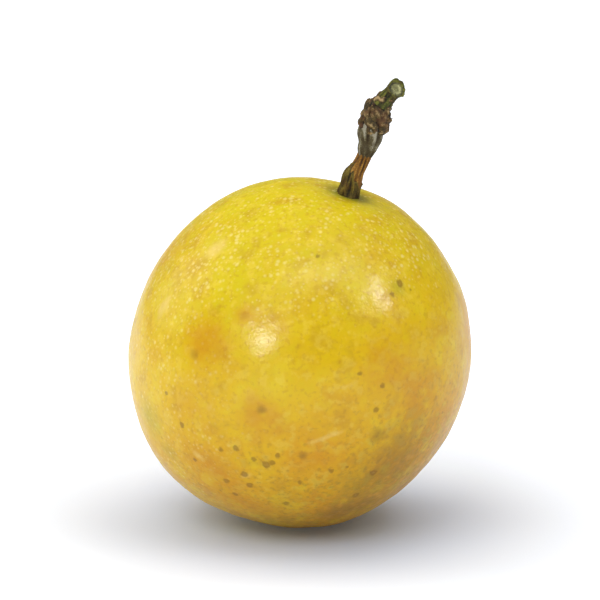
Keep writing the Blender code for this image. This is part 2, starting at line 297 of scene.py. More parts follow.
# ---------------------------------------------------------------- the fruit's form
@dataclass
class FruitForm:
    """The skin's form, from the same named values as the solid's.

    A ball drawn out along its long axis by the square of the cosine from that axis, then
    pushed in or out by soft waves, a few bumps and dents, the dimple at the stalk and the scar
    at the blossom end.
    """

    ball_radius: float = 32.8 * MM
    long_axis_extra: float = 1.4 * MM
    long_axis_tilt: float = math.radians(7.0)
    axis_lean: float = math.radians(16.5)
    axis_nod: float = math.radians(4.0)
    flat_spot_depth: float = 0.45 * MM
    dimple_depth: float = 1.0 * MM
    dimple_width: float = math.radians(7.0)
    shoulder_height: float = 0.30 * MM
    shoulder_angle: float = math.radians(21.0)
    shoulder_width: float = math.radians(8.0)
    blossom_hollow_depth: float = 0.55 * MM
    blossom_hollow_width: float = math.radians(7.5)
    blossom_nub_height: float = 0.75 * MM
    blossom_nub_width: float = math.radians(2.6)
    swells: tuple = (  # wave direction and turns, phase, height
        (-1.2, 2.3, 0.9, 2.1, 0.16 * MM),
        (2.6, -2.2, 2.4, 4.0, 0.14 * MM),
        (-3.4, 1.6, 3.1, 1.2, 0.11 * MM),
        (4.4, 3.9, -2.7, 5.1, 0.07 * MM),
    )
    bumps: tuple = (  # degrees from the stalk, degrees round from +X, half width, height
        (38, 19, 13, -0.45 * MM),
        (39, 153, 13, 0.50 * MM),
        (145, -157, 14, 0.50 * MM),
        (163, -90, 9, -0.30 * MM),
        (145, -31, 9, 0.32 * MM),
        (78, -118, 11, -0.32 * MM),
        (66, -84, 7, -0.16 * MM),
        (98, -76, 9, -0.20 * MM),
        (104, -22, 10, -0.36 * MM),
        (62, -12, 8, -0.26 * MM),
        (74, 38, 12, -0.42 * MM),
        (116, 70, 13, -0.38 * MM),
        (58, 104, 10, -0.34 * MM),
        (92, 142, 11, -0.46 * MM),
        (128, 166, 9, -0.30 * MM),
        (70, 186, 8, -0.24 * MM),
    )

    def turn(self) -> np.ndarray:
        """Works out how the fruit leans: a nod towards -Y, then a lean to +X.

        Returns:
            The 3 by 3 turn from the fruit's frame to the world.
        """
        nod_cos, nod_sin = math.cos(self.axis_nod), math.sin(self.axis_nod)
        lean_cos, lean_sin = math.cos(self.axis_lean), math.sin(self.axis_lean)
        nod = np.array(((1, 0, 0), (0, nod_cos, -nod_sin), (0, nod_sin, nod_cos)))
        lean = np.array(((lean_cos, 0, lean_sin), (0, 1, 0), (-lean_sin, 0, lean_cos)))
        return lean @ nod

    def angle_to(self, directions: np.ndarray, polar: float, azimuth: float) -> np.ndarray:
        """Angles between unit vectors and one direction: the arc cosine of their product.

        Args:
            directions: Unit vectors in the fruit's frame.
            polar: The one direction's angle from the stalk's end.
            azimuth: Its angle round the axis from +X.

        Returns:
            One angle for each unit vector.
        """
        level = math.sin(polar)
        towards = (level * math.cos(azimuth), level * math.sin(azimuth), math.cos(polar))
        return np.arccos(np.clip(directions @ np.array(towards), -1.0, 1.0))

    def skin(self, directions: np.ndarray) -> np.ndarray:
        """Distance of the skin from the fruit's middle, before its fine relief.

        Args:
            directions: Unit vectors in the fruit's frame, where +Z is the stalk's end.

        Returns:
            One distance for each direction, in metres.
        """
        out = self.ball_radius + self.long_axis_extra * (
            np.cos(self.angle_to(directions, self.long_axis_tilt, 0.0)) ** 2
        )
        for *wave, phase, height in self.swells:
            out = out + height * np.sin(directions @ np.array(wave) + phase)
        for polar, azimuth, width, height in self.bumps:
            away = self.angle_to(directions, math.radians(polar), math.radians(azimuth))
            out = out + height * bell(away, math.radians(width))
        stalk = self.angle_to(directions, 0.0, 0.0)
        blossom = math.pi - stalk
        out = out - self.dimple_depth * bell(stalk, self.dimple_width)
        out = out + self.shoulder_height * bell(
            stalk - self.shoulder_angle, self.shoulder_width
        )
        out = out - self.blossom_hollow_depth * bell(blossom, self.blossom_hollow_width)
        return out + self.blossom_nub_height * bell(blossom, self.blossom_nub_width)

    def middle(self) -> np.ndarray:
        """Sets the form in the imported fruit's box: centred on it, its flat spot on Z = 0.

        Returns:
            The fruit's middle in the world.
        """
        low, high = (np.array(corner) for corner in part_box("fruit"))
        around = self.sphere(120, 72) @ self.turn().T
        reach = around * self.skin(self.sphere(120, 72))[..., None]
        own_low, own_high = reach.min(axis=(0, 1)), reach.max(axis=(0, 1))
        level = (low + high - own_low - own_high)[:2] / 2
        return np.array((*level, -own_low[2] - self.flat_spot_depth))

    @staticmethod
    def sphere(columns: int, rows: int) -> np.ndarray:
        """Unit vectors on a grid, each from its polar angle and its azimuth.

        Args:
            columns: Points in each row, round the axis.
            rows: Rows from the stalk's pole to the other.

        Returns:
            The vectors, as rows by columns by 3.
        """
        polar = np.linspace(0.0, math.pi, rows)[:, None]
        azimuth = np.linspace(0.0, 2 * math.pi, columns, endpoint=False)[None, :]
        return np.stack(
            (
                np.sin(polar) * np.cos(azimuth),
                np.sin(polar) * np.sin(azimuth),
                np.cos(polar) * np.ones_like(azimuth),
            ),
            axis=-1,
        )

    def facing(self, yaw: float, pitch: float) -> np.ndarray:
        """The fruit's own unit vector for a yaw and a pitch as seen from the front."""
        return seen_from_front(yaw, pitch) @ self.turn()


# ---------------------------------------------------------------- marks of the rind
class Mark(Enum):
    """Kinds of mark on a grown rind. The value is the mesh attribute that holds it."""

    BRUISE = "bruise"  # soft ripe patch, deep orange
    SCAR = "scar"  # healed rub, pale tan and dry
    SMUDGE_AND_SHADE = "smudge_and_shade"  # brown stain under the skin, and on the lower right a broad painted shade
    GREEN = "green"  # not yet turned yellow


@dataclass(frozen=True)
class Blemish:
    """One soft mark: its kind, its place as seen from the front, its size and its strength."""

    kind: Mark
    yaw: float
    pitch: float
    radius: float
    strength: float
    stretch: float = 1.0  # how many times longer than wide
    slant: float = 0.0  # degrees that its length rises towards +X


FRONT_MARKS = (
    Blemish(Mark.BRUISE, -34, 16, 4.0 * MM, 0.85),
    Blemish(Mark.BRUISE, -21, 26, 1.6 * MM, 0.75, 1.3, 20),
    Blemish(Mark.BRUISE, -14, -6, 3.6 * MM, 0.75),
    Blemish(Mark.BRUISE, -38, -6, 4.6 * MM, 0.45),
    Blemish(Mark.BRUISE, 6, -23, 3.0 * MM, 0.60, 1.8, 10),
    Blemish(Mark.BRUISE, 30, 8, 5.0 * MM, 0.60),
    Blemish(Mark.BRUISE, 44, -4, 5.0 * MM, 0.50),
    Blemish(Mark.BRUISE, -34, -31, 3.6 * MM, 0.65, 1.6, -35),
    Blemish(Mark.BRUISE, -24, -48, 3.6 * MM, 0.55, 2.0, -25),
    Blemish(Mark.BRUISE, 20, -52, 6.0 * MM, 0.50),
    Blemish(Mark.SCAR, -46, 48, 1.5 * MM, 0.80, 1.4, 60),
    Blemish(Mark.SCAR, -60, 23, 1.2 * MM, 0.75, 2.0, 70),
    Blemish(Mark.SCAR, -32, -6, 0.9 * MM, 0.50),
    Blemish(Mark.SCAR, -40, -25, 0.7 * MM, 0.65, 2.0, -40),
    Blemish(Mark.SCAR, -22, -32, 0.6 * MM, 0.60, 2.0, 20),
    Blemish(Mark.SCAR, 9, -15, 0.55 * MM, 0.62, 7.0, 20),
    Blemish(Mark.SCAR, 15, 3, 0.45 * MM, 0.42, 4.0, 15),
    Blemish(Mark.SMUDGE_AND_SHADE, 28, -16, 1.6 * MM, 0.85),
    Blemish(Mark.SMUDGE_AND_SHADE, 1, -22, 0.8 * MM, 0.80),
    Blemish(Mark.SMUDGE_AND_SHADE, -17, -25, 1.5 * MM, 0.45, 2.0, 15),
    Blemish(Mark.SMUDGE_AND_SHADE, -13, -5, 0.75 * MM, 0.95),
    Blemish(Mark.SMUDGE_AND_SHADE, -38, 11, 1.0 * MM, 0.55),
    Blemish(Mark.SMUDGE_AND_SHADE, -21, 26, 0.8 * MM, 0.40, 1.6, 20),
    Blemish(Mark.SMUDGE_AND_SHADE, 28, -52, 4.0 * MM, 0.75, 1.6, 30),
    # Painted shade: this broad smudge darkens the lower right of the rind.
    Blemish(Mark.SMUDGE_AND_SHADE, 38, -28, 7.0 * MM, 0.70, 1.5, 70),
    Blemish(Mark.SMUDGE_AND_SHADE, -10, -60, 3.5 * MM, 0.50, 2.0, 5),
    Blemish(Mark.GREEN, -62, -15, 4.0 * MM, 0.75),
    Blemish(Mark.GREEN, -55, -26, 2.2 * MM, 0.65),
    Blemish(Mark.GREEN, 40, 33, 1.8 * MM, 0.80),
    Blemish(Mark.GREEN, 24, -38, 6.0 * MM, 0.60),
    Blemish(Mark.GREEN, -4, -42, 4.0 * MM, 0.45),
    Blemish(Mark.GREEN, -40, 62, 7.0 * MM, 0.40),
)
# Small dark specks: yaw and pitch as seen from the front, radius in millimetres.
SPECKS = (
    (-23, -20, 0.52),
    (-29, -21, 0.44),
    (-17, -24, 0.50),
    (-12.5, -26, 0.62),
    (-10.5, -25, 0.50),
    (-8, -22, 0.48),
    (-22, -31, 0.60),
    (-21, -36, 0.60),
    (-31, -35, 0.56),
    (-30, -42, 0.50),
    (-7, -46, 0.58),
    (0, -34, 0.48),
    (12, -29, 0.46),
    (18, -28, 0.36),
    (30, -32, 0.60),
    (26, -43, 0.62),
    (28, 2, 0.46),
    (26, -6, 0.50),
    (20, 7, 0.46),
    (-44, -14, 0.50),
    (-50, -4, 0.40),
    (-42, -27, 0.44),
    (42, 34, 0.62),
    (36.5, 31, 0.46),
    (46, 31, 0.34),
    (8, 47, 0.42),
)


@dataclass(frozen=True)
class Layer:
    """One soft layer of colour, laid where a field of numbers runs from start to full."""

    field: str
    start: float
    full: float
    share: float  # how much of what lies below it hides at most
    tint: str
    ragged: float = 0.0  # how far the mottle moves its edge


@dataclass(frozen=True)
class WaxyRind:
    """Passion fruit rind: grown, thin and hard under a film of natural wax.

    To the eye that is a clean yellow, lemon at the stalk and tan below, where the tan is partly
    painted shade that darkens the bottom and the lower right; mottled and clouded with orange,
    thick with pale pinprick lenticels that crowd on the top and the left side as a painted
    highlight, and a broad satin gloss that those and a faint orange-peel skin break up.
    """

    # The ripening ramp's dark tan end also paints shade on the bottom and the lower right.
    ripening: tuple = ((0.0, "#D5C00E"), (0.38, "#DDB506"), (0.66, "#D49A0C"), (1.0, "#A07618"))
    cloud_mm: float = 15.0
    cloud_share: float = 0.55
    blotch_mm: float = 4.2
    mottle_mm: float = 2.0
    mottle_share: float = 0.45
    fleck_mm: float = 0.9
    pore_mm: float = 0.45
    lenticels: tuple = (("dots", 1.30), ("small_dots", 0.80))  # name and spacing, mm
    specks_apart_mm: float = 5.2
    warp_mm: float = 0.9
    roughness: float = 0.45
    roughness_spread: float = 0.08  # more or less than that, from mottle to mottle
    specular: float = 0.10
    wax: float = 0.38
    wax_roughness: float = 0.23
    flesh_glow: float = 0.10
    flesh_glow_mm: float = 1.5
    bump_mm: float = 0.22
    layers: tuple = (
        Layer("patch", 0.52, 0.74, 0.45, "#C8901A"),
        Layer("blotch", 0.54, 0.70, 0.42, "#BC8A1E"),
        Layer("blotch", 0.46, 0.32, 0.35, "#E4CC22"),
        Layer("mottle", 0.50, 0.66, 0.34, "#ECD64A"),
        Layer("fleck", 0.52, 0.70, 0.36, "#BE8A18"),
        Layer("tarnish", 0.26, 0.60, 0.60, "#967A1E"),
        Layer("green", 0.20, 1.20, 0.70, "#A39C1C", 0.5),
        # Painted shadow: darker olive round the stalk's foot.
        Layer("socket", 0.10, 0.90, 0.85, "#73711F", 0.3),
        Layer("dots", 0.04, 0.72, 0.50, "#F1E08A"),
        Layer("small_dots", 0.04, 0.72, 0.46, "#EFDC78"),
        Layer("bruise", 0.10, 0.95, 0.66, "#CB870F", 0.5),
        Layer("smudge_and_shade", 0.15, 0.95, 0.70, "#8C6418", 0.7),
        Layer("scar", 0.20, 0.80, 0.62, "#E9CA6C", 0.6),
        Layer("speck", 0.05, 0.75, 0.60, "#764A02", 0.5),
        Layer("speck", 0.80, 1.00, 0.30, "#B58E3C"),
        Layer("blossom", 0.15, 0.70, 0.90, "#4B3413", 0.5),
    )

    def build(self, form: FruitForm, middle: np.ndarray) -> bpy.types.Material:
        """Makes the rind's material.

        Args:
            form: The fruit's form, for the places of the specks.
            middle: The fruit's middle in the world.

        Returns:
            The material, on Object coordinates and the rind's own attributes.
        """
        made = bpy.data.materials.new("waxy_passion_fruit_rind")
        made.use_nodes = True
        tree = made.node_tree
        shader = tree.nodes["Principled BSDF"]
        place = add_node(tree, "ShaderNodeTexCoord").outputs["Object"]
        mm = add_node(
            tree, "ShaderNodeVectorMath", {0: place, "Scale": 1 / MM}, operation="SCALE"
        ).outputs[0]
        warp = add_node(
            tree, "ShaderNodeTexNoise", {"Vector": mm, "Scale": 1 / self.warp_mm, "Detail": 2.0}
        ).outputs["Color"]
        warped = add_node(
            tree,
            "ShaderNodeVectorMath",
            {0: warp, 1: (self.warp_mm,) * 3, 2: mm},
            operation="MULTIPLY_ADD",
        ).outputs[0]

        fields = {
            label: add_node(tree, "ShaderNodeAttribute", attribute_name=label).outputs["Fac"]
            for label in RIND_FIELDS
        }
        for label, size, detail in (
            ("cloud", self.cloud_mm, 3.0),
            ("patch", self.cloud_mm * 0.5, 4.0),
            ("blotch", self.blotch_mm, 3.0),
            ("mottle", self.mottle_mm, 4.0),
            ("fleck", self.fleck_mm, 3.0),
            ("grain", self.pore_mm, 2.0),
        ):
            fields[label] = add_node(
                tree, "ShaderNodeTexNoise", {"Vector": mm, "Scale": 1 / size, "Detail": detail}
            ).outputs["Fac"]
        crowding = add_node(
            tree, "ShaderNodeMapRange", {0: fields["patch"], 1: 0.38, 2: 0.60, 3: 0.50, 4: 1.15}
        ).outputs[0]
        # The pale lenticel dots follow stipple, which also paints highlight on the top and the
        # left side.
        for label, spacing in self.lenticels:
            cells = add_node(tree, "ShaderNodeTexVoronoi", {"Vector": mm, "Scale": 1 / spacing})
            near = add_node(
                tree,
                "ShaderNodeMapRange",
                {0: cells.outputs["Distance"], 1: 0.52, 2: 0.0},
                interpolation_type="SMOOTHSTEP",
            ).outputs[0]
            draw = add_node(tree, "ShaderNodeSeparateColor", {0: cells.outputs["Color"]})
            size = add_node(
                tree, "ShaderNodeMapRange", {0: draw.outputs[0], 3: 0.25, 4: 1.15}
            ).outputs[0]
            for factor in (size, fields["stipple_and_sheen"], crowding):
                near = add_node(
                    tree, "ShaderNodeMath", {0: near, 1: factor}, operation="MULTIPLY"
                ).outputs[0]
            fields[label] = near
        # Tarnish follows warmth, so these dark flecks also thicken where shade is painted low on
        # the fruit.
        fields["tarnish"] = add_node(
            tree, "ShaderNodeMath", {0: fields["fleck"], 1: fields["ripeness_and_shade"]}, operation="MULTIPLY"
        ).outputs[0]
        fields["speck"] = self.specks(tree, warped, fields["ripeness_and_shade"], form, middle)

        ripeness_and_shade = fields["ripeness_and_shade"]
        for label, share in (("cloud", self.cloud_share), ("mottle", self.mottle_share)):
            centred = add_node(
                tree,
                "ShaderNodeMath",
                {0: fields[label], 1: share, 2: -share / 2},
                operation="MULTIPLY_ADD",
            ).outputs[0]
            ripeness_and_shade = add_node(
                tree, "ShaderNodeMath", {0: ripeness_and_shade, 1: centred}, operation="ADD"
            ).outputs[0]
        colour = add_node(
            tree,
            "ShaderNodeValToRGB",
            {0: ripeness_and_shade},
            stops=tuple((at, linear(tint)) for at, tint in self.ripening),
        ).outputs[0]
        for layer in self.layers:
            edge = add_node(
                tree,
                "ShaderNodeMath",
                {0: fields["mottle"], 1: layer.ragged, 2: fields[layer.field]},
                operation="MULTIPLY_ADD",
            ).outputs[0]
            mask = add_node(
                tree,
                "ShaderNodeMapRange",
                {
                    0: edge,
                    1: layer.start + layer.ragged / 2,
                    2: layer.full + layer.ragged / 2,
                    4: layer.share,
                },
                interpolation_type="SMOOTHSTEP",
            ).outputs[0]
            colour = add_node(
                tree,
                "ShaderNodeMix",
                {0: mask, 6: colour, 7: linear(layer.tint)},
                data_type="RGBA",
            ).outputs[2]
        tree.links.new(colour, shader.inputs["Base Color"])

        low, high = self.roughness - self.roughness_spread, self.roughness + self.roughness_spread
        gloss = add_node(
            tree, "ShaderNodeMapRange", {0: fields["mottle"], 1: 0.3, 2: 0.7, 3: low, 4: high}
        ).outputs[0]
        rough = add_node(
            tree,
            "ShaderNodeMath",
            {0: fields["scar"], 1: 0.2, 2: gloss},
            operation="MULTIPLY_ADD",
        ).outputs[0]
        tree.links.new(rough, shader.inputs["Roughness"])

        height = 0.0
        for label, share in (
            ("grain", 0.45),
            ("dots", 1.1),
            ("small_dots", 0.7),
            ("fleck", 0.9),
            ("mottle", 1.4),
        ):
            height = add_node(
                tree,
                "ShaderNodeMath",
                {0: fields[label], 1: share, 2: height},
                operation="MULTIPLY_ADD",
            ).outputs[0]
        for socket, strength in (("Normal", 0.30), ("Coat Normal", 0.13)):
            bump = add_node(
                tree,
                "ShaderNodeBump",
                {"Height": height, "Strength": strength, "Distance": self.bump_mm * MM},
            ).outputs[0]
            tree.links.new(bump, shader.inputs[socket])
        shader.inputs["Specular IOR Level"].default_value = self.specular
        shader.inputs["Coat Weight"].default_value = self.wax
        shader.inputs["Coat Roughness"].default_value = self.wax_roughness
        shader.inputs["Subsurface Weight"].default_value = self.flesh_glow
        shader.inputs["Subsurface Radius"].default_value = (1.0, 0.6, 0.15)
        shader.inputs["Subsurface Scale"].default_value = self.flesh_glow_mm * MM
        return made

    def specks(
        self,
        tree: bpy.types.NodeTree,
        place: bpy.types.NodeSocket,
        ripeness_and_shade: bpy.types.NodeSocket,
        form: FruitForm,
        middle: np.ndarray,
    ) -> bpy.types.NodeSocket:
        """Marks the small dark specks: scattered ones low on the fruit, and the named ones.

        A named speck fades out from a fifth of its radius to twice it, and the larger it is
        the darker.

        Args:
            tree: The node tree.
            place: The place in millimetres, warped so that no speck is round.
            ripeness_and_shade: The rind's own ripening with painted shade, darker low and to the
                right, which is high where specks are common.
            form: The fruit's form.
            middle: The fruit's middle in the world.

        Returns:
            The strength of the specks, from 0 to 1.
        """
        cells = add_node(
            tree, "ShaderNodeTexVoronoi", {"Vector": place, "Scale": 1 / self.specks_apart_mm}
        )
        parts = add_node(tree, "ShaderNodeSeparateColor", {0: cells.outputs["Color"]})
        common = add_node(
            tree, "ShaderNodeMapRange", {0: ripeness_and_shade, 1: 0.25, 2: 0.8, 3: 0.10, 4: 0.62}
        ).outputs[0]
        chosen = add_node(
            tree, "ShaderNodeMath", {0: parts.outputs[0], 1: common}, operation="LESS_THAN"
        ).outputs[0]
        strength = add_node(
            tree, "ShaderNodeMapRange", {0: parts.outputs[1], 3: 0.35, 4: 0.9}
        ).outputs[0]
        found = add_node(
            tree,
            "ShaderNodeMapRange",
            {0: cells.outputs["Distance"], 1: 0.12, 2: 0.03},
            interpolation_type="SMOOTHSTEP",
        ).outputs[0]
        for factor in (chosen, strength):
            found = add_node(
                tree, "ShaderNodeMath", {0: found, 1: factor}, operation="MULTIPLY"
            ).outputs[0]
        for yaw, pitch, radius in SPECKS:
            way = form.facing(yaw, pitch)
            spot = (middle + way @ form.turn().T * float(form.skin(way))) / MM
            away = add_node(
                tree,
                "ShaderNodeVectorMath",
                {0: place, 1: tuple(spot + self.warp_mm / 2)},
                operation="DISTANCE",
            ).outputs["Value"]
            near = add_node(
                tree,
                "ShaderNodeMapRange",
                {0: away, 1: radius * 2.0, 2: radius * 0.2, 4: min(1.0, 0.38 + radius)},
                interpolation_type="SMOOTHSTEP",
            ).outputs[0]
            found = add_node(
                tree, "ShaderNodeMath", {0: found, 1: near}, operation="MAXIMUM"
            ).outputs[0]
        return found


# The numbers that the rind's mesh carries for its material.
RIND_FIELDS = (
    *(kind.value for kind in Mark),
    "ripeness_and_shade",  # ripening from lemon to deep tan, with painted shade that darkens the bottom and the lower right
    "stipple_and_sheen",  # how plainly the lenticels show, plainest on the top and the left side as a painted highlight
    "socket",  # painted shadow, olive green, round the stalk's foot
    "blossom",  # brown scar at the other end
)


@dataclass
class Rind:
    """The fruit's skin in fine mesh, with its relief and its marks."""

    form: FruitForm
    middle: np.ndarray
    columns: int = 440
    rows: int = 224
    undulation: float = 0.040 * MM
    undulation_waves: tuple = (7 * MM, 14 * MM)  # shortest, longest
    peel: float = 0.014 * MM
    peel_waves: tuple = (2.4 * MM, 4.5 * MM)
    scar_depth: float = 0.07 * MM
    stalk_shade_width: float = math.radians(5.8)
    unripe_width: float = math.radians(13.0)
    blossom_width: float = math.radians(3.0)
    inset: float = 0.12 * MM  # keeps the finer mesh within the faceted solid's box
    hidden_marks: int = 34

    def blemishes(self) -> list[Blemish]:
        """Adds seeded marks of the same kinds, round the sides and the back, to the front's.

        Returns:
            Every mark, the front's first.
        """
        draw = np.random.default_rng(Seed.HIDDEN_MARKS)
        kinds = (Mark.BRUISE, Mark.BRUISE, Mark.SMUDGE_AND_SHADE, Mark.SCAR, Mark.GREEN)
        sizes = {Mark.BRUISE: 4.6, Mark.SMUDGE_AND_SHADE: 2.2, Mark.SCAR: 1.3, Mark.GREEN: 3.6}
        marks = list(FRONT_MARKS)
        for index in range(self.hidden_marks):
            kind = kinds[index % len(kinds)]
            yaw, pitch = draw.uniform(75, 285), draw.uniform(-62, 58)
            size, strength = sizes[kind] * draw.uniform(0.6, 1.3), draw.uniform(0.35, 0.8)
            shape = draw.uniform(1.0, 2.5), draw.uniform(-60, 60)
            marks.append(Blemish(kind, yaw, pitch, size * MM, strength, *shape))
        return marks

    def skin_grid(self) -> tuple[np.ndarray, np.ndarray]:
        """Works out the skin.

        Each point is the middle plus its direction times the skin's distance, less a small
        inset, plus two seeded noises: slow undulations and a faint orange peel. Scars sink in.
        Whatever would reach below the ground is pressed flat on it.

        Returns:
            The directions in the fruit's frame and the points in the world, on one grid.
        """
        ways = self.form.sphere(self.columns, self.rows)
        out = self.form.skin(ways) - self.inset
        on_ball = ways * self.form.ball_radius
        swell = waves(on_ball, Seed.UNDULATION, 60, *self.undulation_waves)
        pores = waves(on_ball, Seed.ORANGE_PEEL, 90, *self.peel_waves)
        out = out + self.undulation * swell
        out = out + self.peel * pores
        for mark in self.blemishes():
            if mark.kind is Mark.SCAR:
                out = out - self.scar_depth * self.spot(ways, mark)
        points = self.middle + (ways * out[..., None]) @ self.form.turn().T
        points[..., 2] = np.maximum(points[..., 2], 0.0)
        return ways, points

    def spot(self, ways: np.ndarray, mark: Blemish) -> np.ndarray:
        """One mark's strength over the skin: a bell on an oval.

        The skin near the mark is laid flat, and its distances along the mark's length are
        divided by the mark's stretch.

        Args:
            ways: Directions in the fruit's frame.
            mark: The mark.

        Returns:
            Its strength at each direction.
        """
        centre = self.form.facing(mark.yaw, mark.pitch)
        level = np.cross(UP @ self.form.turn(), centre)
        level /= np.linalg.norm(level)
        slant = math.radians(mark.slant)
        length = level * math.cos(slant) + np.cross(centre, level) * math.sin(slant)
        along = ways @ length * self.form.ball_radius / mark.stretch
        across = ways @ np.cross(centre, length) * self.form.ball_radius
        oval = mark.strength * bell(np.hypot(along, across), mark.radius)
        return np.where(ways @ centre > 0, oval, 0.0)

    def fields(self, ways: np.ndarray, points: np.ndarray) -> dict[str, np.ndarray]:
        """Works out the numbers that the mesh carries: marks, ripening and lenticels.

        The marks are their spots, the largest where they overlap. Ripening falls with height
        and rises a little to the right, and with it painted shade, which darkens the bottom and
        the lower right. Lenticels crowd the top and the left side, a painted highlight where the
        lights shine.

        Args:
            ways: Directions in the fruit's frame.
            points: The skin's points in the world.

        Returns:
            Each name in RIND_FIELDS, with values from 0 to about 1.
        """
        found = {name: np.zeros(ways.shape[:2]) for name in RIND_FIELDS}
        for mark in self.blemishes():
            found[mark.kind.value] = np.maximum(found[mark.kind.value], self.spot(ways, mark))
        stalk = self.form.angle_to(ways, 0.0, 0.0)
        # Painted shadow round the stalk's foot, in the dimple where it meets the rind.
        found["socket"] = bell(stalk, self.stalk_shade_width)
        found["green"] = np.maximum(found["green"], 0.5 * bell(stalk, self.unripe_width))
        found["blossom"] = bell(math.pi - stalk, self.blossom_width)
        up = (points[..., 2] - self.middle[2]) / self.form.ball_radius
        right = points[..., 0] / self.form.ball_radius
        # Painted shade: warmth rises towards the bottom and to the right, darkening the rind there
        # beyond its ripening.
        found["ripeness_and_shade"] = 0.44 - 0.34 * np.maximum(up, -0.68) + 0.12 * right - 0.06 * up * up
        # Painted highlight: the pale lenticels are made plainer on the top and the left side,
        # where the lights shine.
        found["stipple_and_sheen"] = (
            0.17 + 0.68 * smooth_step(up, 0.28, 0.70) + 0.45 * smooth_step(-right, 0.1, 0.8)
        )
        return found

    def build(self, finish: WaxyRind) -> bpy.types.Object:
        """Builds and dresses the rind.

        Args:
            finish: What the rind is made of.

        Returns:
            The finished piece.
        """
        ways, points = self.skin_grid()
        draft = Draft()
        draft.add(points, **self.fields(ways, points))
        piece = draft.build("rind", finish.build(self.form, self.middle))
        attach(piece, "fruit")
        return piece


# ---------------------------------------------------------------- finishes of the stalk
@dataclass(frozen=True)
class DryPlant:
    """Dead plant tissue, grown and dried: dull, fibrous, darker in its hollows.

    To the eye each surface runs from a dark hollow colour, painted shade in its grooves and
    pits, through its own colour to a pale worn ridge, stained in patches, with no shine.
    """

    name: str
    shaded_hollow: str
    body: str
    ridge: str
    stain: str
    stain_mm: float = 1.6
    grain_mm: float = 0.25
    stain_share: float = 0.6
    roughness: float = 0.82
    specular: float = 0.3
    bump: float = 0.5
    bump_mm: float = 0.15

    def build(self) -> bpy.types.Material:
        """Makes the dry plant's material.

        Returns:
            The material, on Object coordinates and the piece's own "relief" attribute.
        """
        made = bpy.data.materials.new(self.name)
        made.use_nodes = True
        tree = made.node_tree
        shader = tree.nodes["Principled BSDF"]
        place = add_node(tree, "ShaderNodeTexCoord").outputs["Object"]
        mm = add_node(
            tree, "ShaderNodeVectorMath", {0: place, "Scale": 1 / MM}, operation="SCALE"
        ).outputs[0]
        stains, grain = (
            add_node(
                tree,
                "ShaderNodeTexNoise",
                {"Vector": mm, "Scale": 1 / size, "Detail": detail},
            ).outputs["Fac"]
            for size, detail in ((self.stain_mm, 3.0), (self.grain_mm, 3.0))
        )
        relief = add_node(tree, "ShaderNodeAttribute", attribute_name="relief").outputs["Fac"]
        worn = add_node(
            tree,
            "ShaderNodeMath",
            {0: grain, 1: 0.7, 2: relief},
            operation="MULTIPLY_ADD",
        ).outputs[0]
        # Painted shade: low relief in grooves and pits takes the dark hollow colour; high relief
        # takes the pale worn ridge.
        colour = add_node(
            tree,
            "ShaderNodeValToRGB",
            {0: worn},
            stops=(
                (0.45, linear(self.shaded_hollow)),
                (0.80, linear(self.body)),
                (1.0, linear(self.ridge)),
            ),
        ).outputs[0]
        patch = add_node(
            tree,
            "ShaderNodeMapRange",
            {0: stains, 1: 0.47, 2: 0.66, 3: 0.0, 4: self.stain_share},
            interpolation_type="SMOOTHSTEP",
        ).outputs[0]
        colour = add_node(
            tree,
            "ShaderNodeMix",
            {0: patch, 6: colour, 7: linear(self.stain)},
            data_type="RGBA",
        ).outputs[2]
        tree.links.new(colour, shader.inputs["Base Color"])
        bump = add_node(
            tree,
            "ShaderNodeBump",
            {"Height": grain, "Strength": self.bump, "Distance": self.bump_mm * MM},
        ).outputs[0]
        tree.links.new(bump, shader.inputs["Normal"])
        shader.inputs["Roughness"].default_value = self.roughness
        shader.inputs["Specular IOR Level"].default_value = self.specular
        return made


# Thin dried bark of the neck: tan and orange, with dark gaps between its fibres.
NECK_BARK = DryPlant(
    "dry_stalk_bark", shaded_hollow="#42280A", body="#8A5E18", ridge="#B48838", stain="#6C4214"
)
# Old thick bark of the collar: dull olive, cracked, with rusty stains.
COLLAR_BARK = DryPlant(
    "old_collar_bark",
    shaded_hollow="#211B06",
    body="#564810",
    ridge="#7C6A20",
    stain="#543012",
    stain_share=0.45,
)
# Withered petals pressed together: papery grey on their pleats, brown in the folds.
CUP_WALL = DryPlant(
    "withered_flower_cup", shaded_hollow="#34270E", body="#625A3E", ridge="#A09A86", stain="#433820"
)
# Dead sepals and flower base: crumbly brown, near black in the pits, straw on the edges.
DRY_SEPAL = DryPlant(
    "dry_sepal_tatters",
    shaded_hollow="#14130B",
    body="#584824",
    ridge="#A48A5C",
    stain="#6A4226",
    stain_share=0.5,
)
# Bark that was last to dry: still moss green, with dark grooves.
GREEN_BARK = DryPlant(
    "green_stalk_bark", shaded_hollow="#1C1D09", body="#474912", ridge="#6E6E26", stain="#443014"
)
# Pith and wood laid bare by the cut: pale and dry, greyed round the rim.
CUT_PITH = DryPlant(
    "cut_stalk_pith",
    shaded_hollow="#3A3820",
    body="#9A9862",
    ridge="#CECC98",
    stain="#55553A",
    stain_mm=0.9,
)


